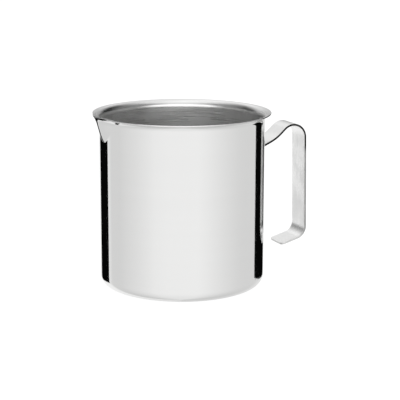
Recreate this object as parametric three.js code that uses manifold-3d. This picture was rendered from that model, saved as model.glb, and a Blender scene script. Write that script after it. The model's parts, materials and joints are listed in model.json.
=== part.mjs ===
// A candle melting pot: a deep-drawn steel pot with a turned-out lip and a pressed pouring spout, and a
// bent strip handle that is spot welded to its wall. Millimetres, +Z up. The origin is on the pot's axis,
// on the plane that it stands on. The handle points along +X and the spout along -X.
import * as THREE from "three";
import { mergeVertices } from "three/addons/utils/BufferGeometryUtils.js";
import Module from "manifold-3d";

const { degToRad, lerp, smoothstep } = THREE.MathUtils;
const wasm = await Module();
wasm.setup();

// ---- Driving dimensions, in millimetres and degrees ----

// The pot, drawn from one sheet.
const SHEET = 0.8; // thickness
const POT_RADIUS = 60; // outside of the straight wall
const BASE_CORNER_RADIUS = 7.8; // outside of the corner between base and wall
const LIP_START = 121.75; // height where the wall starts to turn out
const LIP_BEND_RADIUS = 4.95; // of the plain lip, at the middle of the sheet
const LIP_TURN = 90; // how far the plain lip turns out, so that its edge lies flat

// The spout, a V pressed outwards from the wall and the lip.
const SPOUT_BOTTOM = 108.2; // height of the V's lowest point
const SPOUT_HALF_WIDTH = 21; // round the wall, where the V reaches the lip
const CREASE_ROUNDING = 3; // radius of the V's crease at its lowest point
const RIDGE_SLOPE = 0.275; // how fast the ridge leans out, per millimetre up
const RIDGE_STEP = 1; // how much further out the ridge's first few millimetres bring it
const RIDGE_STEP_HEIGHT = 3; // over which that step is mostly made
const HOLLOWING = 0.03; // how much more hollow the V's two sides get, per millimetre up
const SPOUT_LIP_TURN = 20; // what is left of the lip's turn on the ridge
const SPOUT_LIP_LENGTH = 5.9; // and of its length up the sheet

// The handle, bent from flat strip.
const STRIP_WIDTH = 20;
const STRIP_THICKNESS = 1.5;
const STRIP_CORNER_RADIUS = 3; // of the strip's two ends
const PAD_BOTTOM = 69.7; // height of the welded end
const PAD_LENGTH = 27;
const WELD_GAP = 0.3; // between the pad and the wall
// The strip's runs in order, from the pad's lower end: straight lengths, and bends as degrees turned at a
// radius of the strip's middle. A positive bend turns anticlockwise in a view with +X to the right and
// +Z up.
const HANDLE_RUNS = [
  { straight: PAD_LENGTH }, // the pad
  { bend: -60, radius: 2.5 }, // out from the wall
  { straight: 8.7 },
  { bend: 12.7, radius: 32 }, // the arm's slight upward sweep, where the cupping has faded out
  { straight: 4.9 },
  { bend: -131.7, radius: 10 }, // over the top, down into the grip
  { straight: 68.4 },
  { bend: -75.1, radius: 8.8 }, // back towards the pot
  { straight: 13.9 }, // the free end
];

// The spot welds, two across and two up.
const WELD_RADIUS = 2.5;
const WELD_REACH = 0.3; // how deep each weld goes into the pot's wall
const WELD_LENGTH = 1; // through the wall's skin, the gap and the pad's skin
const WELD_CLEARANCE = 0.1; // between a weld and the pocket that holds it
const WELD_SPACING = { across: 10, up: 14 };

// How finely the round shapes are divided.
const POT_MERIDIANS = 88;
const SPOUT_CROWDING = 0.4; // draws the meridians towards the spout, where the shape is finest
const CORNER_STEPS = 6;
const WALL_HEIGHTS = [107.5, 110, 112.5, 115, 118.5]; // the rows that carry the spout's V
const LIP_STEPS = 5;
const BEND_STEP = 15; // degrees of bend between two stations of the strip
const STRIP_CORNER_STEPS = 4;
const STRIP_WIDTH_STEPS = 6;
const WELD_SIDES = 16;
const MERGE_TOLERANCE = 1e-4; // below which two points are one
const SLOPE_PROBE = 0.5; // half the height over which the spout's slope is measured

// ---- Materials ----

const polishedSteel = () =>
  new THREE.MeshStandardMaterial({ color: 0xd8d8d6, roughness: 0.08, metalness: 1 });
const satinSteel = () =>
  new THREE.MeshStandardMaterial({ color: 0xcfcfcd, roughness: 0.28, metalness: 1 });
const weldSteel = () =>
  new THREE.MeshStandardMaterial({ color: 0x9a9894, roughness: 0.5, metalness: 1 });

// ---- Solids ----

function solidOf(geometry) {
  const bare = new THREE.BufferGeometry()
    .setAttribute("position", geometry.getAttribute("position"))
    .setIndex(geometry.getIndex());
  const merged = mergeVertices(bare, MERGE_TOLERANCE);
  return new wasm.Manifold(
    new wasm.Mesh({
      numProp: 3,
      vertProperties: merged.attributes.position.array,
      triVerts: new Uint32Array(merged.index.array),
    }),
  );
}

function geometryOf(solid) {
  const { vertProperties, triVerts } = solid.getMesh();
  const shared = new THREE.BufferGeometry()
    .setAttribute("position", new THREE.BufferAttribute(vertProperties, 3))
    .setIndex(new THREE.BufferAttribute(triVerts, 1));
  const flat = shared.toNonIndexed();
  flat.computeVertexNormals();
  return flat;
}

function namedMesh(name, geometry, material) {
  const mesh = new THREE.Mesh(geometry, material);
  mesh.name = name;
  return mesh;
}

// ---- Spot welds ----

// A round slug that lies on a radius of the pot, from one distance from the axis to another.
function weldSlug(radius, inner, outer, { angle, height }) {
  return new THREE.CylinderGeometry(radius, radius, outer - inner, WELD_SIDES)
    .rotateZ(-Math.PI / 2)
    .translate((inner + outer) / 2, 0, 0)
    .rotateZ(angle)
    .translate(0, 0, height);
}

const weldPlaces = [1, -1].flatMap((up) =>
  [1, -1].map((side) => ({
    name: `spot_weld_${up > 0 ? "upper" : "lower"}_${side > 0 ? "left" : "right"}`,
    angle: Math.asin((side * WELD_SPACING.across) / 2 / POT_RADIUS),
    height: PAD_BOTTOM + PAD_LENGTH / 2 + (up * WELD_SPACING.up) / 2,
  })),
);
const weldInner = POT_RADIUS - WELD_REACH;
const weldOuter = weldInner + WELD_LENGTH;

function withWeldPockets(geometry) {
  const pockets = weldPlaces.map((place) =>
    solidOf(
      weldSlug(
        WELD_RADIUS + WELD_CLEARANCE,
        weldInner - WELD_CLEARANCE,
        weldOuter + WELD_CLEARANCE,
        place,
      ),
    ),
  );
  return geometryOf(pockets.reduce((solid, pocket) => solid.subtract(pocket), solidOf(geometry)));
}

// ---- The pot ----

// How high the V's crease is above its lowest point, at a distance round the wall from the spout's middle.
const creaseRise = (around) => Math.hypot(around, CREASE_ROUNDING) - CREASE_ROUNDING;

// How far the spout's V pushes the wall out there, at a height.
function spoutPush(around, height) {
  const rise = height - SPOUT_BOTTOM;
  const crease = creaseRise(around);
  if (rise <= crease) return 0;
  const ridge = RIDGE_SLOPE * rise + RIDGE_STEP * (1 - Math.exp(-rise / RIDGE_STEP_HEIGHT));
  return ridge * (1 - crease / rise) ** (1 + HOLLOWING * rise);
}

// A station is a place on the middle of the plain pot's sheet: its radius, its height, how far the sheet
// leans out there, and how much of the lip's length is below it. Side is 1 on the outside of the sheet
// and -1 on the inside. The answer is the radius and height of the surface.
function sheetPoint({ radius, height, lean, lip }, side, around) {
  const pressed = Math.max(0, 1 - creaseRise(around) / creaseRise(SPOUT_HALF_WIDTH));
  const lipTurn = degToRad(lerp(LIP_TURN, SPOUT_LIP_TURN, pressed));
  const plainLength = LIP_BEND_RADIUS * degToRad(LIP_TURN);
  const bendRadius = lerp(plainLength, SPOUT_LIP_LENGTH, pressed) / lipTurn;
  const turned = lipTurn * lip;
  const z = height + bendRadius * Math.sin(turned);
  const r = radius + bendRadius * (1 - Math.cos(turned)) + spoutPush(around, z);
  const rise = spoutPush(around, z + SLOPE_PROBE) - spoutPush(around, z - SLOPE_PROBE);
  const tilt = lean + turned + Math.atan2(rise, 2 * SLOPE_PROBE);
  return [r + (side * SHEET * Math.cos(tilt)) / 2, z - (side * SHEET * Math.sin(tilt)) / 2];
}

function potBody() {
  const cornerRadius = BASE_CORNER_RADIUS - SHEET / 2;
  const cornerCentre = POT_RADIUS - BASE_CORNER_RADIUS;
  const wallRadius = POT_RADIUS - SHEET / 2;
  const steps = (count) => Array.from({ length: count }, (_, k) => (k + 1) / count);
  const stations = [
    { radius: 0, height: SHEET / 2, lean: Math.PI / 2, lip: 0 },
    ...[0, ...steps(CORNER_STEPS)].map((part) => {
      const angle = (part * Math.PI) / 2;
      return {
        radius: cornerCentre + cornerRadius * Math.sin(angle),
        height: BASE_CORNER_RADIUS - cornerRadius * Math.cos(angle),
        lean: Math.PI / 2 - angle,
        lip: 0,
      };
    }),
    ...[...WALL_HEIGHTS, LIP_START].map((height) => ({ radius: wallRadius, height, lean: 0, lip: 0 })),
    ...steps(LIP_STEPS).map((lip) => ({ radius: wallRadius, height: LIP_START, lean: 0, lip })),
  ];
  // One closed profile: up the outside, over the lip's edge and down the inside.
  const rows = [
    ...stations.map((station) => ({ station, side: 1 })),
    ...stations.toReversed().map((station) => ({ station, side: -1 })),
  ];
  const oppositeSpout = Math.PI * POT_RADIUS;
  const profile = rows.map(
    ({ station, side }) => new THREE.Vector2(...sheetPoint(station, side, oppositeSpout)),
  );
  profile[0].x = 0;
  profile.at(-1).x = 0;
  const geometry = new THREE.LatheGeometry(profile, POT_MERIDIANS);
  // The lathe's grid, with its meridians crowded towards the spout and each point pressed to shape.
  const position = geometry.getAttribute("position");
  for (let i = 0; i < position.count; i++) {
    const { station, side } = rows[i % rows.length];
    const meridian = Math.floor(i / rows.length);
    const even = 2 * Math.PI * (meridian / POT_MERIDIANS - 0.5);
    const fromSpout = even - SPOUT_CROWDING * Math.sin(even);
    const [r, z] = sheetPoint(station, side, fromSpout * POT_RADIUS);
    const reach = station.radius === 0 ? 0 : r;
    position.setXYZ(i, -reach * Math.cos(fromSpout), -reach * Math.sin(fromSpout), z);
  }
  return namedMesh("pot_body", withWeldPockets(geometry), polishedSteel());
}

// ---- The handle ----

// The strip's runs as arcs and lines in the XZ plane, each with its start, heading and length.
function handleRuns() {
  let x = POT_RADIUS + WELD_GAP + STRIP_THICKNESS / 2;
  let z = PAD_BOTTOM;
  let heading = Math.PI / 2;
  let start = 0;
  return HANDLE_RUNS.map(({ straight, bend = 0, radius = Infinity }) => {
    const turn = degToRad(bend);
    const length = straight ?? Math.abs(turn) * radius;
    const run = { x, z, heading, start, length, turn };
    const end = alongRun(run, length);
    ({ x, z, heading } = end);
    start += length;
    return run;
  });
}

function alongRun({ x, z, heading, length, turn }, distance) {
  if (turn === 0) {
    return { x: x + distance * Math.cos(heading), z: z + distance * Math.sin(heading), heading };
  }
  const radius = length / turn;
  const turned = heading + distance / radius;
  return {
    x: x + radius * (Math.sin(turned) - Math.sin(heading)),
    z: z - radius * (Math.cos(turned) - Math.cos(heading)),
    heading: turned,
  };
}

function handle() {
  const runs = handleRuns();
  const sweep = runs.find(({ turn }) => turn > 0);
  const last = runs.at(-1);
  const total = last.start + last.length;
  const corner = Array.from(
    { length: STRIP_CORNER_STEPS + 1 },
    (_, k) => STRIP_CORNER_RADIUS * (1 - Math.cos((k * Math.PI) / 2 / STRIP_CORNER_STEPS)),
  );
  // A station at each end of every run, along each bend, and through the rounded corners.
  const distances = new Set(corner.flatMap((d) => [d, total - d]));
  for (const { start, length, turn } of runs) {
    const count = Math.max(1, Math.round(Math.abs(turn) / degToRad(BEND_STEP)));
    for (let k = start > 0 ? 0 : 1; k < count; k++) distances.add(start + (length * k) / count);
  }
  const stations = [...distances]
    .sort((a, b) => a - b)
    .map((distance) => {
      const run = runs.findLast(({ start }) => start <= distance);
      const fromEnd = Math.min(distance, total - distance);
      const inset = Math.max(0, STRIP_CORNER_RADIUS - fromEnd);
      const rounded = Math.sqrt(Math.max(0, STRIP_CORNER_RADIUS ** 2 - inset ** 2));
      return {
        ...alongRun(run, distance - run.start),
        halfWidth: STRIP_WIDTH / 2 - STRIP_CORNER_RADIUS + rounded,
        cupping: 1 - smoothstep(distance, PAD_LENGTH, sweep.start),
      };
    });
  // A flat bar along Z, bent station by station. The pad is cupped to lie along the pot's wall.
  const spans = stations.length - 1;
  const geometry = new THREE.BoxGeometry(2, 2, spans, STRIP_WIDTH_STEPS, 1, spans);
  const position = geometry.getAttribute("position");
  for (let i = 0; i < position.count; i++) {
    const { x, z, heading, halfWidth, cupping } = stations[Math.round(position.getZ(i) + spans / 2)];
    const across = position.getX(i) * halfWidth;
    const offset = (position.getY(i) * STRIP_THICKNESS) / 2;
    const level = x - offset * Math.sin(heading);
    const cup = cupping * (Math.sqrt(level ** 2 - across ** 2) - level);
    position.setXYZ(i, level + cup, across, z + offset * Math.cos(heading));
  }
  return namedMesh("handle", withWeldPockets(geometry), satinSteel());
}

// ---- The object ----

const meltingPot = new THREE.Group();
meltingPot.add(potBody(), handle());
for (const place of weldPlaces) {
  const slug = weldSlug(WELD_RADIUS, weldInner, weldOuter, place);
  meltingPot.add(namedMesh(place.name, slug, weldSteel()));
}

export default meltingPot;
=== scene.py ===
import json
import math

import bmesh
import bpy
from bpy.props import FloatProperty, FloatVectorProperty, IntProperty, PointerProperty
from mathutils import Matrix, Vector


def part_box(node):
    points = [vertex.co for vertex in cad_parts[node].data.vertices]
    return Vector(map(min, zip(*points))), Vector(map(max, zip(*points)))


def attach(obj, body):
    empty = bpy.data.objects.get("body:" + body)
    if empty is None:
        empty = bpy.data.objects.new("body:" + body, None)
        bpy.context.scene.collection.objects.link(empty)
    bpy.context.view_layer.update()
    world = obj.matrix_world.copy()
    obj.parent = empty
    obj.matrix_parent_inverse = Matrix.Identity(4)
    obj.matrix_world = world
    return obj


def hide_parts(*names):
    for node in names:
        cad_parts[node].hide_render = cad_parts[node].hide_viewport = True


bl_info = {
    "name": "Melting Pot",
    "version": (1, 0, 0),
    "blender": (4, 5, 0),
    "location": "View3D > Sidebar > Melting Pot",
    "description": "Builds a spouted steel melting pot over its packed frame, and a small studio round it",
    "category": "Object",
}

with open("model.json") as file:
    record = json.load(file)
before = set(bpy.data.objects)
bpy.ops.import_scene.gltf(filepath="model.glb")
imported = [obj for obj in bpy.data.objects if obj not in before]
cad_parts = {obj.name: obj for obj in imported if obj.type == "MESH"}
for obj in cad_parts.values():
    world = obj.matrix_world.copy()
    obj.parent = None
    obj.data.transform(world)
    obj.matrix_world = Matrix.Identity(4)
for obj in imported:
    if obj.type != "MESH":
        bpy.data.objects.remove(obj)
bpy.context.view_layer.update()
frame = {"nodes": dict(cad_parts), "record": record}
BASE_COLOURS = {m["slot"]: m["base_color"] for m in frame["record"]["materials"]}
WELD_NODES = sorted(name for name in frame["nodes"] if name.startswith("spot_weld_"))
MM = 0.001


def length(name, millimetres, description):
    """A size in the sidebar, given here in millimetres."""
    return FloatProperty(
        name=name,
        description=description,
        default=millimetres * MM,
        min=0,
        subtype="DISTANCE",
        unit="LENGTH",
        precision=5,
    )


def turn(name, degrees, description):
    """An angle in the sidebar, given here in degrees."""
    return FloatProperty(
        name=name,
        description=description,
        default=math.radians(degrees),
        subtype="ANGLE",
        unit="ROTATION",
    )


def colour(name, default, description):
    """A colour in the sidebar."""
    return FloatVectorProperty(
        name=name, description=description, default=default, min=0, max=1, subtype="COLOR"
    )


def share(name, default, description):
    """A number from 0 to 1 in the sidebar."""
    return FloatProperty(
        name=name, description=description, default=default, min=0, max=1, subtype="FACTOR"
    )


class PotBodySizes(bpy.types.PropertyGroup):
    """Sizes of the drawn pot, its lip and its spout."""

    sheet: length("Sheet", 0.8, "Thickness of the steel sheet")
    wall_radius: length("Wall radius", 60, "From the axis to the outside of the wall")
    corner_radius: length("Corner radius", 7.8, "Outside radius between the base and the wall")
    lip_start: length("Lip start", 121.75, "Height at which the wall turns out into the lip")
    lip_bend: length("Lip bend", 4.93, "Bend radius of the lip, on the middle of the sheet")
    lip_turn: turn("Lip turn", 90, "How far the lip is turned out")
    lip_edge: length("Lip edge", 0.28, "Rounding of the lip's cut edge")
    spout_bottom: length("Spout bottom", 108.2, "Height of the point of the V")
    spout_half_width: length("Spout half width", 21, "From the ridge to where the lip is whole")
    crease_rounding: length("Crease rounding", 3, "Rounding at the bottom of the V")
    ridge_slope: FloatProperty(
        name="Ridge slope", description="How far out the ridge leans for its rise", default=0.275
    )
    ridge_step: length("Ridge step", 1, "How far the V stands out beside its creases")
    ridge_step_height: length("Step height", 3, "Rise over which the V comes to stand out")
    hollowing: FloatProperty(
        name="Hollowing", description="How the V's sides hollow, for each mm of rise", default=0.03
    )
    spout_lip_turn: turn("Spout lip turn", 20, "How far the lip is turned out at the ridge")
    spout_lip_length: length("Spout lip length", 5.9, "Length of the lip at the ridge")
    meridians: IntProperty(
        name="Meridians", description="Steps round the pot", default=288, min=32, max=400
    )
    crowding: share("Crowding", 0.6, "How much closer the steps lie at the spout")


class HandleSizes(bpy.types.PropertyGroup):
    """Sizes of the handle's strip, and its runs in order from the pad's lower end."""

    strip_width: length("Strip width", 20, "Width of the flat strip")
    strip_thickness: length("Strip thickness", 1.5, "Thickness of the flat strip")
    strip_corner: length("Strip corner", 3, "Rounding of the strip's corners")
    edge_rounding: length("Edge rounding", 0.3, "Rounding along the strip's sheared edges")
    weld_gap: length("Weld gap", 0.3, "Gap between the pad and the wall")
    pad_bottom: length("Pad bottom", 69.7, "Height of the pad's lower end")
    pad_length: length("Pad length", 27, "Straight run welded to the wall")
    arm_turn: turn("Arm turn", 60, "Bend from the pad out to the arm")
    arm_bend: length("Arm bend", 2.5, "Bend radius between the pad and the arm")
    arm_foot: length("Arm foot", 8.7, "Straight run after the first bend")
    sweep_turn: turn("Sweep turn", 12.7, "Gentle upward bend along the arm")
    sweep_bend: length("Sweep bend", 32, "Bend radius of that gentle bend")
    arm_top: length("Arm top", 4.9, "Straight run before the crest")
    crest_turn: turn("Crest turn", 131.7, "Bend over the crest")
    crest_bend: length("Crest bend", 10, "Bend radius over the crest")
    grip_length: length("Grip length", 68.4, "Straight run that the fingers hold")
    heel_turn: turn("Heel turn", 75.1, "Bend from the grip in to the free leg")
    heel_bend: length("Heel bend", 8.8, "Bend radius at the heel")
    leg_length: length("Leg length", 13.9, "Straight run of the free leg")

    def runs(self):
        """The strip's runs in order: (length, turn to the right, bend radius)."""
        return [
            (self.pad_length, 0, 0),
            (0, self.arm_turn, self.arm_bend),
            (self.arm_foot, 0, 0),
            (0, -self.sweep_turn, self.sweep_bend),
            (self.arm_top, 0, 0),
            (0, self.crest_turn, self.crest_bend),
            (self.grip_length, 0, 0),
            (0, self.heel_turn, self.heel_bend),
            (self.leg_length, 0, 0),
        ]


class SteelFinish(bpy.types.PropertyGroup):
    """Colours and polish of the steel."""

    polished: colour("Polished steel", (0.80, 0.80, 0.795), "Colour of the polished outside")
    satin: colour("Satin steel", (0.82, 0.82, 0.815), "Colour of the satin inside")
    handle: colour("Handle steel", (0.91, 0.91, 0.905), "Colour of the handle's satin faces")
    # Painted shade: a near-black colour that the handle's edges are given in place of the shade on them
    edge_painted_shade: colour("Sheared edge", (0.01, 0.0095, 0.009), "Colour of the handle's dark edges")
    weld: colour("Weld", BASE_COLOURS["weld_steel"], "Colour of the fused metal")
    heat_tint: colour("Heat tint", (0.50, 0.38, 0.24), "Straw tint round each spot weld")
    polish: share("Polish", 0.05, "Roughness of the outside")
    satin_roughness: share("Satin", 0.31, "Roughness of the inside")
    handle_roughness: share("Handle satin", 0.31, "Roughness of the handle")
    weld_across: length("Weld across", 5, "From the handle's middle to each spot weld")
    weld_height: length("Weld height", 83.2, "Height of the middle of the four spot welds")
    weld_up: length("Weld up", 7, "From that height to each spot weld")
    weld_mark: length("Weld mark", 2.9, "Radius of the mark that an electrode leaves")


class StudioSettings(bpy.types.PropertyGroup):
    """The studio: camera, tent, floor and overhead light."""

    bearing: turn("Camera bearing", 247, "Bearing of the camera, anticlockwise from +X")
    elevation: turn("Camera elevation", 12.45, "Elevation of the camera")
    distance: length("Camera distance", 1000, "From the pot to the camera")
    lens: FloatProperty(name="Lens", description="Focal length in mm", default=122.89, min=1)
    aim_height: length("Aim height", 62, "Height of the point that the camera circles")
    aim_right: length("Aim right", 13.21, "How far right of that point the camera looks")
    aim_drop: length("Aim drop", 0.32, "How far below that point the camera looks")
    roll: turn("Camera roll", 0.15, "How far the camera is rolled")
    floor_radius: length("Floor radius", 4000, "Radius of the pale floor")
    floor_colour: colour("Floor", (0.12, 0.12, 0.12), "What the floor gives back of its light")
    floor_glow: share("Floor glow", 0.93, "Light that comes up through the floor's white sheet")
    light_power: FloatProperty(
        name="Light power", description="Power of the overhead light in W", default=25, min=0
    )


class Recipe:
    """A material under way: adds nodes and joins them."""

    def __init__(self, name):
        self.material = bpy.data.materials.new(name)
        self.material.use_nodes = True
        self.tree = self.material.node_tree
        self.shader = self.tree.nodes["Principled BSDF"]
        self.place = self.node("ShaderNodeTexCoord").outputs["Object"]

    def node(self, kind, **settings):
        """Adds a node."""
        made = self.tree.nodes.new(kind)
        for name, value in settings.items():
            setattr(made, name, value)
        return made

    def feed(self, socket, value):
        """Joins a socket to another, or sets it to a value."""
        if isinstance(value, bpy.types.NodeSocket):
            self.tree.links.new(value, socket)
        else:
            socket.default_value = value

    def maths(self, operation, *values):
        """One Math node."""
        made = self.node("ShaderNodeMath", operation=operation)
        for socket, value in zip(made.inputs, values):
            self.feed(socket, value)
        return made.outputs[0]

    def between(self, value, low, high, to_low=0.0, to_high=1.0):
        """Fades smoothly from to_low to to_high as value goes from low to high."""
        made = self.node("ShaderNodeMapRange", interpolation_type="SMOOTHSTEP")
        for socket, number in zip(made.inputs, (value, low, high, to_low, to_high)):
            self.feed(socket, number)
        return made.outputs[0]

    def split(self, vector):
        """The three parts of a vector."""
        made = self.node("ShaderNodeSeparateXYZ")
        self.feed(made.inputs[0], vector)
        return made.outputs

    def join(self, *parts):
        """A vector from three parts."""
        made = self.node("ShaderNodeCombineXYZ")
        for socket, value in zip(made.inputs, parts):
            self.feed(socket, value)
        return made.outputs[0]

    def noise(self, vector, scale, detail=2.0, roughness=0.5):
        """Noise from 0 to 1."""
        made = self.node("ShaderNodeTexNoise")
        self.feed(made.inputs["Vector"], vector)
        made.inputs["Scale"].default_value = scale
        made.inputs["Detail"].default_value = detail
        made.inputs["Roughness"].default_value = roughness
        return made.outputs[0]

    def tint(self, amount, first, second):
        """Mixes two colours."""
        made = self.node("ShaderNodeMix", data_type="RGBA")
        self.feed(made.inputs[0], amount)
        self.feed(made.inputs[6], opaque(first))
        self.feed(made.inputs[7], opaque(second))
        return made.outputs[2]

    def bump(self, height, distance, strength=1.0, over=None):
        """A bump of this height in metres, over another bump if there is one."""
        made = self.node("ShaderNodeBump")
        self.feed(made.inputs["Height"], height)
        made.inputs["Distance"].default_value = distance
        made.inputs["Strength"].default_value = strength
        if over is not None:
            self.feed(made.inputs["Normal"], over)
        return made.outputs[0]

    def finish(self, colour, roughness, normal):
        """Joins the steel's colour, roughness and bump to the shader."""
        self.shader.inputs["Metallic"].default_value = 1.0
        self.feed(self.shader.inputs["Base Color"], opaque(colour))
        self.feed(self.shader.inputs["Roughness"], roughness)
        self.feed(self.shader.inputs["Normal"], normal)
        return self.material


def opaque(value):
    """A colour with its alpha, or the socket unchanged."""
    return value if isinstance(value, bpy.types.NodeSocket) else (*value, 1.0)


def scaled(value, factor):
    """A colour made darker or lighter."""
    return tuple(min(1.0, part * factor) for part in value)


def lathe_grain(recipe, around, along):
    """Place for a grain that runs round the axis: slow around it, fast along the sheet's section."""
    x, y, z = recipe.split(recipe.place)
    radius = recipe.maths("SQRT", recipe.maths("ADD", recipe.maths("MULTIPLY", x, x),
                                               recipe.maths("MULTIPLY", y, y)))
    section = recipe.maths("ADD", z, radius)
    return recipe.join(
        recipe.maths("MULTIPLY", x, around),
        recipe.maths("MULTIPLY", y, around),
        recipe.maths("MULTIPLY", section, along),
    )


POT_WALL_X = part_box("spot_weld_upper_left")[0].x
PAD_REACH = 3 * MM  # how near that the pad and the wall behind it lie


def weld_distance(recipe, finish):
    """Distance to the nearest of the four spot welds, and 1 where the pad meets the wall."""
    x, y, z = recipe.split(recipe.place)
    across = recipe.maths("SUBTRACT", recipe.maths("ABSOLUTE", y), finish.weld_across)
    lifted = recipe.maths("ABSOLUTE", recipe.maths("SUBTRACT", z, finish.weld_height))
    up = recipe.maths("SUBTRACT", lifted, finish.weld_up)
    distance = recipe.maths(
        "SQRT",
        recipe.maths("ADD", recipe.maths("MULTIPLY", across, across),
                     recipe.maths("MULTIPLY", up, up)),
    )
    by_wall = recipe.maths("COMPARE", x, POT_WALL_X, PAD_REACH)
    return distance, by_wall


def electrode_mark(recipe, finish, colour, roughness, normal):
    """Adds the shallow dimple and faint heat ring of each spot weld."""
    distance, by_wall = weld_distance(recipe, finish)
    mark = finish.weld_mark
    dimple = recipe.maths(
        "MULTIPLY", recipe.between(distance, mark * 0.75, mark, 1.0, 0.0), by_wall
    )
    halo = recipe.maths(
        "MULTIPLY", recipe.between(distance, mark, mark * 2.4, 0.35, 0.0), by_wall
    )
    tinted = recipe.tint(halo, colour, finish.heat_tint)
    return (
        recipe.tint(recipe.maths("MULTIPLY", dimple, 0.3), tinted, scaled(finish.weld, 1.1)),
        recipe.maths("ADD", roughness, recipe.maths("MULTIPLY", dimple, 0.12)),
        recipe.bump(recipe.maths("SUBTRACT", 1.0, dimple), 0.0003, 0.6, normal),
    )


def polished_outside(finish):
    """Mirror-polished steel, with faint lines round the pot, a slight wave and light handling."""
    recipe = Recipe("polished_outside")
    lines = recipe.noise(lathe_grain(recipe, 14, 1500), 1.0, 3.0, 0.65)
    bands = recipe.noise(lathe_grain(recipe, 3, 130), 1.0, 2.0)
    wave = recipe.noise(recipe.place, 34, 1.0)
    smudges = recipe.between(recipe.noise(recipe.place, 60, 4.0, 0.6), 0.52, 0.72, 0.0, 0.035)
    scuffs = recipe.noise(lathe_grain(recipe, 60, 900), 1.0, 4.0, 0.8)
    height = recipe.split(recipe.place)[2]
    foot = recipe.between(height, 0.0, 0.006, 1.0, 0.0)
    worn = recipe.maths("MULTIPLY", foot, recipe.between(scuffs, 0.5, 0.7, 0.08, 0.28))
    colour = recipe.tint(bands, scaled(finish.polished, 0.985), scaled(finish.polished, 1.01))
    roughness = recipe.maths("ADD", recipe.between(lines, 0.3, 0.75, finish.polish * 0.7,
                                                   finish.polish * 1.6), smudges)
    roughness = recipe.maths("ADD", roughness, worn)
    normal = recipe.bump(wave, 0.0006, 0.05)
    normal = recipe.bump(lines, 0.00002, 0.25, normal)
    return recipe.finish(colour, roughness, normal)


def satin_inside(finish):
    """Satin steel, rubbed round the pot, with the marks of the spot welds."""
    recipe = Recipe("satin_inside")
    lines = recipe.noise(lathe_grain(recipe, 20, 1300), 1.0, 4.0, 0.75)
    bands = recipe.noise(lathe_grain(recipe, 5, 160), 1.0, 2.0)
    cloud = recipe.noise(recipe.place, 45, 3.0)
    colour = recipe.tint(bands, scaled(finish.satin, 0.96), scaled(finish.satin, 1.03))
    roughness = recipe.maths(
        "ADD",
        recipe.between(lines, 0.25, 0.75, finish.satin_roughness - 0.07,
                       finish.satin_roughness + 0.07),
        recipe.between(cloud, 0.3, 0.7, -0.03, 0.03),
    )
    normal = recipe.bump(lines, 0.00004, 0.5)
    colour, roughness, normal = electrode_mark(recipe, finish, colour, roughness, normal)
    return recipe.finish(colour, roughness, normal)


def trimmed_edge(finish):
    """The lip's trimmed and rubbed edge."""
    recipe = Recipe("trimmed_edge")
    grain = recipe.noise(lathe_grain(recipe, 240, 2400), 1.0, 3.0, 0.7)
    colour = recipe.tint(grain, scaled(finish.satin, 0.8), scaled(finish.satin, 1.05))
    roughness = recipe.between(grain, 0.3, 0.7, 0.16, 0.3)
    return recipe.finish(colour, roughness, recipe.bump(grain, 0.00004, 0.4))


def strip_place(recipe, along, across):
    """Place on the flat strip before it was bent, from its own map, in metres."""
    layout = recipe.node("ShaderNodeUVMap", uv_map="strip")
    u, v, _ = recipe.split(layout.outputs[0])
    return recipe.join(recipe.maths("MULTIPLY", u, along), recipe.maths("MULTIPLY", v, across), 0.0)


def handle_satin(finish):
    """Satin strip with a grain along its length."""
    recipe = Recipe("handle_satin")
    grain = recipe.noise(strip_place(recipe, 45, 2600), 1.0, 4.0, 0.7)
    streaks = recipe.noise(strip_place(recipe, 12, 420), 1.0, 3.0)
    cloud = recipe.noise(recipe.place, 70, 3.0)
    colour = recipe.tint(streaks, scaled(finish.handle, 0.95), scaled(finish.handle, 1.05))
    roughness = recipe.maths(
        "ADD",
        recipe.between(grain, 0.25, 0.75, finish.handle_roughness - 0.06,
                       finish.handle_roughness + 0.08),
        recipe.between(cloud, 0.3, 0.7, -0.05, 0.03),
    )
    normal = recipe.bump(streaks, 0.00006, 0.2)
    normal = recipe.bump(grain, 0.00003, 0.5, normal)
    colour, roughness, normal = electrode_mark(recipe, finish, colour, roughness, normal)
    return recipe.finish(colour, roughness, normal)


def painted_shade_edge(finish):
    """The strip's sheared edge, with painted shade: near-black high up, on the arm near the pot and the
    crest, easing paler lower down along the grip and leg.
    """
    recipe = Recipe("painted_shade_edge")
    height = recipe.split(recipe.place)[2]
    grain = recipe.noise(recipe.place, 900, 3.0, 0.7)
    patches = recipe.noise(recipe.place, 110, 3.0)
    # Painted shade eases towards the handle's steel colour below about 90 mm, and again below about 30 mm
    less_painted_shade_low = recipe.between(height, 0.098, 0.090, 0.0, 0.35)
    less_painted_shade_lowest = recipe.between(height, 0.034, 0.026, 0.0, 0.4)
    amount = recipe.maths("ADD", recipe.maths("ADD", less_painted_shade_low, less_painted_shade_lowest),
                          recipe.between(patches, 0.35, 0.75, -0.02, 0.06))
    colour = recipe.tint(amount, finish.edge_painted_shade, finish.handle)
    roughness = recipe.between(grain, 0.3, 0.7, 0.38, 0.55)
    return recipe.finish(colour, roughness, recipe.bump(grain, 0.00008, 0.5))


def fused_weld(finish):
    """Fused metal, dull in the middle and heat-tinted towards its rim."""
    recipe = Recipe("fused_weld")
    distance, _ = weld_distance(recipe, finish)
    spatter = recipe.noise(recipe.place, 1400, 3.0, 0.7)
    rim = recipe.between(distance, finish.weld_mark * 0.45, finish.weld_mark * 0.85)
    colour = recipe.tint(rim, finish.weld, finish.heat_tint)
    colour = recipe.tint(recipe.between(spatter, 0.45, 0.7, 0.0, 0.5), colour, (0.2, 0.18, 0.17))
    roughness = recipe.between(spatter, 0.3, 0.7, 0.35, 0.6)
    return recipe.finish(colour, roughness, recipe.bump(spatter, 0.0002, 0.6))


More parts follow.
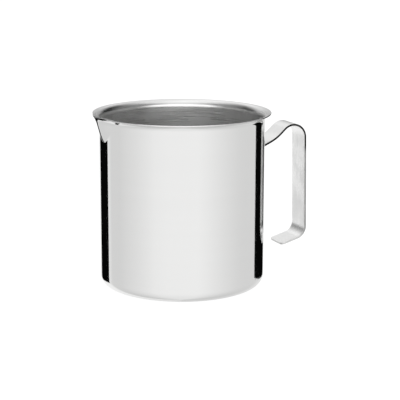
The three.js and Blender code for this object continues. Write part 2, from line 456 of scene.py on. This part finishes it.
def place_piece(name, bm, materials, node):
    """Makes the finished piece from its mesh, riding on the frame in place of its CAD node."""
    mesh = bpy.data.meshes.new(name)
    bm.to_mesh(mesh)
    bm.free()
    mesh.shade_smooth()
    for material in materials:
        mesh.materials.append(material)
    piece = bpy.data.objects.new(name, mesh)
    bpy.context.scene.collection.objects.link(piece)
    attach(piece, "root")
    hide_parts(node)
    return piece


EDGE_STEPS = 3
CUT_EDGE_ANGLE = math.radians(60)


def give_thickness(piece, thickness, rounding, inside, rim):
    """Gives steel its thickness on both sides of its middle and rounds its cut edges.

    inside and rim say how many slots on from the outside's material theirs are.
    """
    wall = piece.modifiers.new("thickness", "SOLIDIFY")
    wall.thickness = thickness
    wall.offset = 0
    wall.use_even_offset = True
    wall.use_quality_normals = True
    wall.material_offset = inside
    wall.material_offset_rim = rim
    edge = piece.modifiers.new("rounded edges", "BEVEL")
    edge.width = rounding
    edge.segments = EDGE_STEPS
    edge.profile = 0.5
    edge.limit_method = "ANGLE"
    edge.angle_limit = CUT_EDGE_ANGLE
    edge.harden_normals = True
    edge.material = -1


CORNER_STEPS = 16
BASE_RING_GAP = 7 * MM
WALL_RING_GAP = 4 * MM
SPOUT_RING_GAP = 0.55 * MM
LIP_RING_GAP = 0.65 * MM
MERGE_GAP = 0.001 * MM
STRIP_CORNER_STEPS = 8
STRIP_LANES = 16


def draw_out(bm, vert, place, gap):
    """Draws the section on from a point to a place, in steps about a gap long. Returns the end."""
    reach = Vector(place) - vert.co
    steps = max(1, round(reach.length / gap))
    for _ in range(steps):
        vert = bmesh.ops.extrude_vert_indiv(bm, verts=[vert])["verts"][0]
        bmesh.ops.translate(bm, verts=[vert], vec=reach / steps)
    return vert


def draw_blank(sizes):
    """The pot as drawn, on the middle of its sheet: flat base, rounded corner and straight wall."""
    bm = bmesh.new()
    flat = sizes.wall_radius - sizes.corner_radius
    wall = sizes.wall_radius - sizes.sheet / 2
    lip_length = sizes.lip_bend * sizes.lip_turn
    middle = bm.verts.new((0, 0, sizes.sheet / 2))
    corner = draw_out(bm, middle, (-flat, 0, sizes.sheet / 2), BASE_RING_GAP)
    turned = bmesh.ops.spin(
        bm,
        geom=[corner],
        cent=(-flat, 0, sizes.corner_radius),
        axis=(0, 1, 0),
        angle=math.radians(90),
        steps=CORNER_STEPS,
    )
    foot = next(v for v in turned["geom_last"] if isinstance(v, bmesh.types.BMVert))
    for height, gap in (
        (sizes.spout_bottom, WALL_RING_GAP),
        (sizes.lip_start, SPOUT_RING_GAP),
        (sizes.lip_start + lip_length, LIP_RING_GAP),
    ):
        foot = draw_out(bm, foot, (-wall, 0, height), gap)
    bmesh.ops.spin(
        bm,
        geom=bm.verts[:] + bm.edges[:],
        cent=(0, 0, 0),
        axis=(0, 0, 1),
        angle=math.radians(360),
        steps=sizes.meridians,
        use_merge=True,
    )
    bmesh.ops.remove_doubles(bm, verts=bm.verts, dist=MERGE_GAP)
    bmesh.ops.recalc_face_normals(bm, faces=bm.faces)
    return bm


def crease_rise(sizes, around):
    """How far the V's creases have risen at a distance round the wall from the ridge."""
    return math.hypot(around, sizes.crease_rounding) - sizes.crease_rounding


def spout_push(sizes, around, height):
    """How far out the spout is pressed at a place on the wall."""
    rise = height - sizes.spout_bottom
    crease = crease_rise(sizes, around)
    if rise <= crease:
        return 0
    step = sizes.ridge_step * (1 - math.exp(-rise / sizes.ridge_step_height))
    ridge = sizes.ridge_slope * rise + step
    return ridge * (1 - crease / rise) ** (1 + sizes.hollowing * rise / MM)


def form_rim(bm, sizes):
    """Turns out the lip and presses the spout, by moving each point of the drawn blank."""
    lip_length = sizes.lip_bend * sizes.lip_turn
    whole_lip = crease_rise(sizes, sizes.spout_half_width)
    for vert in bm.verts:
        radius = math.hypot(vert.co.x, vert.co.y)
        even = math.atan2(-vert.co.y, -vert.co.x)
        bearing = even - sizes.crowding * math.sin(even)
        around = abs(bearing) * sizes.wall_radius
        height = min(vert.co.z, sizes.lip_start)
        lip = (vert.co.z - height) / lip_length
        pressed = max(0, 1 - crease_rise(sizes, around) / whole_lip)
        lip_turn = sizes.lip_turn + (sizes.spout_lip_turn - sizes.lip_turn) * pressed
        bend = (lip_length + (sizes.spout_lip_length - lip_length) * pressed) / lip_turn
        height += bend * math.sin(lip_turn * lip)
        radius += bend * (1 - math.cos(lip_turn * lip)) + spout_push(sizes, around, height)
        vert.co = (-radius * math.cos(bearing), -radius * math.sin(bearing), height)


def cut_strip(sizes):
    """The handle's flat strip along +X, with rounded corners, cut across wherever it bends."""
    strip_length = sum(run + turned_length(*rest) for run, *rest in sizes.runs())
    bm = bmesh.new()
    bmesh.ops.create_grid(bm, x_segments=1, y_segments=1, size=0.5)
    bmesh.ops.scale(bm, verts=bm.verts, vec=(strip_length, sizes.strip_width, 1))
    bmesh.ops.translate(bm, verts=bm.verts, vec=(strip_length / 2, 0, 0))
    bmesh.ops.bevel(
        bm,
        geom=bm.verts[:],
        affect="VERTICES",
        offset=sizes.strip_corner,
        offset_type="OFFSET",
        segments=STRIP_CORNER_STEPS,
        profile=0.5,
        material=-1,
    )
    for place in cuts_along(sizes):
        cut_at(bm, (place, 0, 0), (1, 0, 0))
    for lane in range(1, STRIP_LANES):
        cut_at(bm, (0, (lane / STRIP_LANES - 0.5) * sizes.strip_width, 0), (0, 1, 0))
    layout = bm.loops.layers.uv.new("strip")
    for face in bm.faces:
        for loop in face.loops:
            loop[layout].uv = loop.vert.co.xy
    return bm


def cut_at(bm, point, across):
    """Cuts the flat strip along a plane and keeps both sides."""
    bmesh.ops.bisect_plane(
        bm,
        geom=bm.verts[:] + bm.edges[:] + bm.faces[:],
        dist=MERGE_GAP,
        plane_co=point,
        plane_no=across,
    )


def turned_length(turn_angle, bend):
    """Length of strip in a bend, on its middle."""
    return abs(turn_angle) * bend


BEND_STEP = math.radians(4)
STRAIGHT_STEP = 2.5 * MM


def cuts_along(sizes):
    """Where the strip is cut across: closely in the bends, and every few mm between them."""
    places, start = [], 0
    for run, turn_angle, bend in sizes.runs():
        reach = run + turned_length(turn_angle, bend)
        steps = math.ceil(abs(turn_angle) / BEND_STEP) if turn_angle else math.ceil(run / STRAIGHT_STEP)
        places += [start + reach * step / steps for step in range(steps)]
        start += reach
    return places[1:]


def pad_middle(sizes):
    """Distance from the axis to the middle of the pad's thickness."""
    wall = bpy.context.scene.pot_body_sizes.wall_radius
    return wall + sizes.weld_gap + sizes.strip_thickness / 2


def bent_place(sizes, along):
    """Where a point of the strip's middle line lands, and the heading there, from +Z towards +X."""
    x = pad_middle(sizes)
    z = sizes.pad_bottom
    heading = 0
    for run, turn_angle, bend in sizes.runs():
        reach = run + turned_length(turn_angle, bend)
        part = min(along, reach)
        if turn_angle:
            end = heading + turn_angle * part / reach
            side = math.copysign(bend, turn_angle)
            x += side * (math.cos(heading) - math.cos(end))
            z += side * (math.sin(end) - math.sin(heading))
            heading = end
        else:
            x += part * math.sin(heading)
            z += part * math.cos(heading)
        along -= part
        if along <= 0:
            break
    return x, z, heading


def bend_strip(bm, sizes):
    """Bends the flat strip to the handle's shape and cups its pad to the wall."""
    level = pad_middle(sizes)
    runs = sizes.runs()
    flat_from = sum(run + turned_length(*rest) for run, *rest in runs[:3])
    for vert in bm.verts:
        along, across = vert.co.x, vert.co.y
        x, z, heading = bent_place(sizes, along)
        fade = min(1, max(0, (flat_from - along) / (flat_from - sizes.pad_length)))
        cupping = fade * fade * (3 - 2 * fade)
        sink = cupping * (level - math.sqrt(level**2 - across**2))
        vert.co = (x - sink * math.cos(heading), across, z + sink * math.sin(heading))
    bmesh.ops.recalc_face_normals(bm, faces=bm.faces)


class POT_OT_body(bpy.types.Operator):
    """Draw the pot, turn out its lip and press its spout"""

    bl_idname = "melting_pot.body"
    bl_label = "Pot Body"
    bl_options = {"REGISTER", "UNDO"}

    def execute(self, context):
        sizes = context.scene.pot_body_sizes
        finish = context.scene.steel_finish
        bm = draw_blank(sizes)
        form_rim(bm, sizes)
        materials = [polished_outside(finish), satin_inside(finish), trimmed_edge(finish)]
        piece = place_piece("pot_body_steel", bm, materials, "pot_body")
        give_thickness(piece, sizes.sheet, sizes.lip_edge, 1, 2)
        return {"FINISHED"}


class POT_OT_handle(bpy.types.Operator):
    """Cut the handle's strip, bend it and cup its pad to the wall"""

    bl_idname = "melting_pot.handle"
    bl_label = "Handle"
    bl_options = {"REGISTER", "UNDO"}

    def execute(self, context):
        sizes = context.scene.handle_sizes
        finish = context.scene.steel_finish
        bm = cut_strip(sizes)
        bend_strip(bm, sizes)
        # The second material paints shade on the strip's edges
        materials = [handle_satin(finish), painted_shade_edge(finish)]
        piece = place_piece("handle_strip", bm, materials, "handle")
        give_thickness(piece, sizes.strip_thickness, sizes.edge_rounding, 0, 1)
        return {"FINISHED"}


class POT_OT_spot_welds(bpy.types.Operator):
    """Finish the four spot welds as fused, heat-tinted steel"""

    bl_idname = "melting_pot.spot_welds"
    bl_label = "Spot Welds"
    bl_options = {"REGISTER", "UNDO"}

    def execute(self, context):
        fused = fused_weld(context.scene.steel_finish)
        for name in WELD_NODES:
            mesh = frame["nodes"][name].data
            mesh.materials.clear()
            mesh.materials.append(fused)
        return {"FINISHED"}


# Brightness of the tent's wall by bearing from the camera, in degrees, positive to the pot's right
TENT_WALL = [
    (-180, 0.9), (-155, 1.05), (-128, 1.05), (-115, 0.79), (-95, 0.795), (-85, 0.832), (-66, 0.895),
    (-47, 0.972), (-38, 1.014), (-20, 1.04), (22, 1.048), (36, 1.004), (45, 0.965),
    (63, 0.895), (84, 0.823), (96, 0.804), (121, 0.79), (150, 0.88), (180, 0.84),
]
# Brightness behind the pot, beside it and before it by height, as the sine of the elevation
TENT_BACK = [
    (-1.0, 0.9), (-0.6, 0.97), (-0.3, 1.0), (-0.12, 1.0), (0.0, 0.45), (0.2, 0.5), (0.42, 0.85),
    (0.6, 1.1), (1.0, 1.25),
]
TENT_SIDE = [
    (-1.0, 0.9), (-0.6, 0.97), (-0.3, 1.0), (-0.1, 1.0), (0.05, 0.25), (0.7, 0.25), (0.88, 1.1),
    (1.0, 1.25),
]
TENT_FRONT = [
    (-1.0, 0.9), (-0.6, 0.97), (-0.3, 1.0), (0.0, 1.0), (0.1, 2.1), (0.25, 2.1), (0.5, 0.9),
    (0.8, 0.9), (1.0, 1.25),
]


def light_tent(bearing):
    """A tent of uneven brightness that only the steel reflects. All else sees plain white."""
    world = bpy.data.worlds.new("tent")
    world.use_nodes = True
    bpy.context.scene.world = world
    tree = world.node_tree
    tree.nodes.clear()

    def node(kind, **settings):
        made = tree.nodes.new(kind)
        for name, value in settings.items():
            setattr(made, name, value)
        return made

    def ramp(stops, low, high):
        """A range of brightness over a value that goes from low to high."""
        fitted = node("ShaderNodeMapRange")
        fitted.inputs["From Min"].default_value = low
        fitted.inputs["From Max"].default_value = high
        made = node("ShaderNodeValToRGB")
        marks = made.color_ramp.elements
        while len(marks) < len(stops):
            marks.new(0.5)
        for mark, (place, brightness) in zip(marks, stops):
            mark.position = (place - stops[0][0]) / (stops[-1][0] - stops[0][0])
            mark.color = (brightness, brightness, brightness, 1)
        tree.links.new(fitted.outputs[0], made.inputs[0])
        return fitted.inputs["Value"], made.outputs[0]

    def zone(outer, inner):
        """Fades from 0 to 1 as the direction turns to the camera's side of the pot, or away from it."""
        made = node("ShaderNodeMapRange", interpolation_type="SMOOTHSTEP")
        made.inputs["From Min"].default_value = outer
        made.inputs["From Max"].default_value = inner
        return made

    direction = node("ShaderNodeTexCoord")
    turned = node("ShaderNodeVectorRotate", rotation_type="Z_AXIS")
    turned.inputs["Angle"].default_value = -bearing
    parts = node("ShaderNodeSeparateXYZ")
    swing = node("ShaderNodeMath", operation="ARCTAN2")
    round_in, round_out = ramp(TENT_WALL, -math.pi, math.pi)
    back_in, back_out = ramp(TENT_BACK, -1, 1)
    side_in, side_out = ramp(TENT_SIDE, -1, 1)
    front_in, front_out = ramp(TENT_FRONT, -1, 1)
    behind = zone(-0.4, -0.75)
    before = zone(0.4, 0.85)
    fore = node("ShaderNodeMix", data_type="RGBA")
    rise = node("ShaderNodeMix", data_type="RGBA")
    both = node("ShaderNodeMix", data_type="RGBA", blend_type="MULTIPLY")
    both.inputs[0].default_value = 1
    tent = node("ShaderNodeBackground")
    plain = node("ShaderNodeBackground")
    plain.inputs["Color"].default_value = (1, 1, 1, 1)
    plain.inputs["Strength"].default_value = 1.0
    path = node("ShaderNodeLightPath")
    either = node("ShaderNodeMixShader")
    output = node("ShaderNodeOutputWorld")
    for source, target in (
        (direction.outputs["Generated"], turned.inputs["Vector"]),
        (turned.outputs[0], parts.inputs[0]),
        (parts.outputs["Y"], swing.inputs[0]),
        (parts.outputs["X"], swing.inputs[1]),
        (swing.outputs[0], round_in),
        (parts.outputs["Z"], back_in),
        (parts.outputs["Z"], side_in),
        (parts.outputs["Z"], front_in),
        (parts.outputs["X"], behind.inputs["Value"]),
        (parts.outputs["X"], before.inputs["Value"]),
        (before.outputs[0], fore.inputs[0]),
        (side_out, fore.inputs[6]),
        (front_out, fore.inputs[7]),
        (behind.outputs[0], rise.inputs[0]),
        (fore.outputs[2], rise.inputs[6]),
        (back_out, rise.inputs[7]),
        (round_out, both.inputs[6]),
        (rise.outputs[2], both.inputs[7]),
        (both.outputs[2], tent.inputs["Color"]),
        (path.outputs["Is Glossy Ray"], either.inputs[0]),
        (plain.outputs[0], either.inputs[1]),
        (tent.outputs[0], either.inputs[2]),
        (either.outputs[0], output.inputs[0]),
    ):
        tree.links.new(source, target)


# The flags' lower and upper edges' heights, and their upright edges: (to the right of the axis, towards
# the camera), in mm
FLAGS = {
    "left_flag": ((-67, 300), [(-217, -84), (-134, -172)]),
    "right_flag": ((-132, 560), [(471, -242), (197, -472)]),
}


def black_flag(name, heights, edges, studio):
    """An upright black card that only the steel sees."""
    towards = Vector((math.cos(studio.bearing), math.sin(studio.bearing), 0))
    right = Vector((-towards.y, towards.x, 0))
    bm = bmesh.new()
    feet = [bm.verts.new((right * x + towards * y) * MM) for x, y in edges]
    foot = bm.edges.new(feet)
    bottom, top = heights
    bmesh.ops.translate(bm, verts=feet, vec=(0, 0, bottom * MM))
    raised = bmesh.ops.extrude_edge_only(bm, edges=[foot])["geom"]
    tops = [part for part in raised if isinstance(part, bmesh.types.BMVert)]
    bmesh.ops.translate(bm, verts=tops, vec=(0, 0, (top - bottom) * MM))
    mesh = bpy.data.meshes.new(name)
    bm.to_mesh(mesh)
    bm.free()
    recipe = Recipe(name)
    recipe.shader.inputs["Base Color"].default_value = (0.002, 0.002, 0.002, 1)
    recipe.shader.inputs["Roughness"].default_value = 1
    recipe.shader.inputs["Specular IOR Level"].default_value = 0
    mesh.materials.append(recipe.material)
    flag = bpy.data.objects.new(name, mesh)
    flag.visible_camera = flag.visible_diffuse = flag.visible_shadow = False
    bpy.context.scene.collection.objects.link(flag)


def pale_floor(studio):
    """A round pale sheet lit from below, kept out of the steel's reflections."""
    bm = bmesh.new()
    bmesh.ops.create_circle(bm, cap_ends=True, segments=96, radius=studio.floor_radius)
    mesh = bpy.data.meshes.new("pale_floor")
    bm.to_mesh(mesh)
    bm.free()
    recipe = Recipe("pale_floor")
    cloud = recipe.noise(recipe.place, 3.0, 2.0)
    recipe.feed(
        recipe.shader.inputs["Base Color"],
        recipe.tint(cloud, scaled(studio.floor_colour, 0.99), studio.floor_colour),
    )
    recipe.shader.inputs["Roughness"].default_value = 0.9
    recipe.shader.inputs["Specular IOR Level"].default_value = 0.1
    recipe.shader.inputs["Emission Color"].default_value = (1, 1, 1, 1)
    recipe.shader.inputs["Emission Strength"].default_value = studio.floor_glow
    mesh.materials.append(recipe.material)
    floor = bpy.data.objects.new("pale_floor", mesh)
    floor.visible_glossy = False
    bpy.context.scene.collection.objects.link(floor)


LAMP_SIZE = 3
LAMP_TOWARDS = 0.5
LAMP_HEIGHT = 1.9


def overhead_light(studio):
    """One broad soft light above the pot, towards the camera."""
    lamp = bpy.data.lights.new("overhead", "AREA")
    lamp.shape = "DISK"
    lamp.size = LAMP_SIZE
    lamp.energy = studio.light_power
    light = bpy.data.objects.new("overhead", lamp)
    towards = Vector((math.cos(studio.bearing), math.sin(studio.bearing), 0))
    light.location = towards * LAMP_TOWARDS + Vector((0, 0, LAMP_HEIGHT))
    light.rotation_euler = (-light.location).to_track_quat("-Z", "Y").to_euler()
    light.visible_glossy = False
    bpy.context.scene.collection.objects.link(light)


def set_camera(studio):
    """The camera, looking just right of the pot's axis."""
    data = bpy.data.cameras.new("camera")
    data.lens = studio.lens
    data.clip_start, data.clip_end = 0.05, 50
    camera = bpy.data.objects.new("camera", data)
    towards = Vector((
        math.cos(studio.elevation) * math.cos(studio.bearing),
        math.cos(studio.elevation) * math.sin(studio.bearing),
        math.sin(studio.elevation),
    ))
    right = Vector((-math.sin(studio.bearing), math.cos(studio.bearing), 0))
    centre = Vector((0, 0, studio.aim_height))
    camera.location = centre + towards * studio.distance
    aim = centre + right * studio.aim_right - towards.cross(right) * studio.aim_drop
    level = (aim - camera.location).to_track_quat("-Z", "Y").to_matrix().to_4x4()
    camera.rotation_euler = (level @ Matrix.Rotation(studio.roll, 4, "Z")).to_euler()
    bpy.context.scene.collection.objects.link(camera)
    bpy.context.scene.camera = camera


class POT_OT_studio(bpy.types.Operator):
    """Set the pale floor, the light tent with its flags, the overhead light and the camera"""

    bl_idname = "melting_pot.studio"
    bl_label = "Studio"
    bl_options = {"REGISTER", "UNDO"}

    def execute(self, context):
        studio = context.scene.studio_settings
        context.scene.view_settings.view_transform = "Standard"
        light_tent(studio.bearing)
        for name, (heights, edges) in FLAGS.items():
            black_flag(name, heights, edges, studio)
        pale_floor(studio)
        overhead_light(studio)
        set_camera(studio)
        return {"FINISHED"}


GROUPS = {
    "pot_body_sizes": PotBodySizes,
    "handle_sizes": HandleSizes,
    "steel_finish": SteelFinish,
    "studio_settings": StudioSettings,
}
OPERATORS = (POT_OT_body, POT_OT_handle, POT_OT_spot_welds, POT_OT_studio)


class POT_PT_panel(bpy.types.Panel):
    """Lists the pot's sizes, finishes and operators"""

    bl_idname = "POT_PT_panel"
    bl_label = "Melting Pot"
    bl_space_type = "VIEW_3D"
    bl_region_type = "UI"
    bl_category = "Melting Pot"

    def draw(self, context):
        layout = self.layout
        for name, group in GROUPS.items():
            column = layout.box().column()
            column.label(text=name.replace("_", " ").capitalize())
            for prop in group.__annotations__:
                column.prop(getattr(context.scene, name), prop)
        for operator in OPERATORS:
            layout.operator(operator.bl_idname)


def register():
    for cls in (*GROUPS.values(), *OPERATORS, POT_PT_panel):
        bpy.utils.register_class(cls)
    for name, group in GROUPS.items():
        setattr(bpy.types.Scene, name, PointerProperty(type=group))


def unregister():
    for name in GROUPS:
        delattr(bpy.types.Scene, name)
    for cls in reversed((*GROUPS.values(), *OPERATORS, POT_PT_panel)):
        bpy.utils.unregister_class(cls)


def main():
    register()
    bpy.ops.melting_pot.body()
    bpy.ops.melting_pot.handle()
    bpy.ops.melting_pot.spot_welds()
    bpy.ops.melting_pot.studio()


if __name__ == "__main__":
    main()
